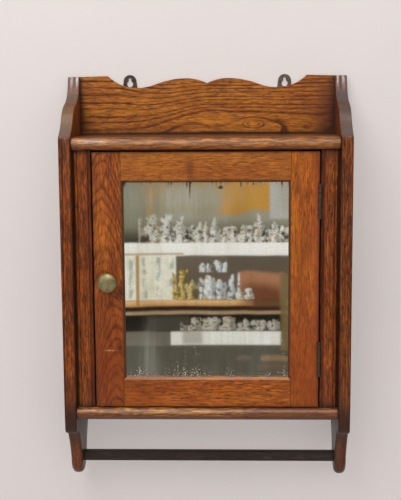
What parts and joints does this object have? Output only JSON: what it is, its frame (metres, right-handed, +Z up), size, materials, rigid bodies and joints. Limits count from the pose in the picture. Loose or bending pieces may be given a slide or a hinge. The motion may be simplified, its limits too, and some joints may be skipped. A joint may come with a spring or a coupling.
{
  "type": "wall medicine cabinet",
  "caption": "Oak wall cabinet with a framed mirror door on butt hinges, turn latch, two shelves, scalloped crest, shaped sides, two hanging plates and a flat towel rail.",
  "frame": {"origin": "in the wall plane, midway between the two wall screws that the hanging plates drop onto, at the height where the screws' shanks bear", "axes": "+Z up, -Y out of the wall towards the front of the cabinet, +X to the right as the viewer faces the mirror; the back edges of the sides lie at y = 0"},
  "size_m": [0.457, 0.153, 0.6637],
  "materials": {
    "oak": "warm brown oak with open grain under old satin varnish, darker where handled",
    "dark_oak": "nearly black stained oak, worn satin",
    "back_wood": "plain unvarnished softwood, dry and matt",
    "brass": "aged brass with a greenish brown patina",
    "hinge_steel": "old browned steel, satin",
    "iron": "dark browned wrought plate",
    "mirror": "old silvered glass, greyed and foxed along its edges"
  },
  "bodies": {
    "cabinet": {"side_left": "oak", "side_right": "oak", "top_board": "oak", "bottom_board": "oak", "crest_board": "oak", "face_stile_left": "oak", "face_stile_right": "oak", "shelf_upper": "oak", "shelf_lower": "oak", "batten_upper_left": "oak", "batten_upper_right": "oak", "batten_lower_left": "oak", "batten_lower_right": "oak", "door_stop_top": "oak", "door_stop_bottom": "oak", "back_board_left": "back_wood", "back_board_centre": "back_wood", "back_board_right": "back_wood", "towel_rail": "dark_oak", "hanging_plate_left": "iron", "hanging_plate_right": "iron", "hanging_screw_left_1": "iron", "hanging_screw_left_2": "iron", "hanging_screw_right_1": "iron", "hanging_screw_right_2": "iron", "hinge_top_frame_leaf": "hinge_steel", "hinge_bottom_frame_leaf": "hinge_steel", "hinge_top_pin": "hinge_steel", "hinge_bottom_pin": "hinge_steel", "hinge_top_frame_screw_1": "hinge_steel", "hinge_top_frame_screw_2": "hinge_steel", "hinge_bottom_frame_screw_1": "hinge_steel", "hinge_bottom_frame_screw_2": "hinge_steel"},
    "door": {"door_stile_left": "oak", "door_stile_right": "oak", "door_rail_top": "oak", "door_rail_bottom": "oak", "mirror_bead_top": "oak", "mirror_bead_bottom": "oak", "mirror_bead_left": "oak", "mirror_bead_right": "oak", "mirror_glass": "mirror", "mirror_backing": "back_wood", "knob_rose": "brass", "hinge_top_door_leaf": "hinge_steel", "hinge_bottom_door_leaf": "hinge_steel", "hinge_top_door_screw_1": "hinge_steel", "hinge_top_door_screw_2": "hinge_steel", "hinge_bottom_door_screw_1": "hinge_steel", "hinge_bottom_door_screw_2": "hinge_steel"},
    "latch": {"knob": "brass", "latch_spindle": "hinge_steel", "latch_tongue": "brass", "latch_nut": "brass"}
  },
  "joints": [
    {"name": "door_hinge", "type": "hinge", "parent": "cabinet", "child": "door", "pos_m": [0.1781, -0.1314, -0.3159], "axis": [0, 0, 1], "range_deg": [0, 160]},
    {"name": "knob_turn", "type": "hinge", "parent": "door", "child": "latch", "pos_m": [-0.1556, -0.13, -0.3159], "axis": [0, 1, 0], "range_deg": [0, 90]}
  ]
}
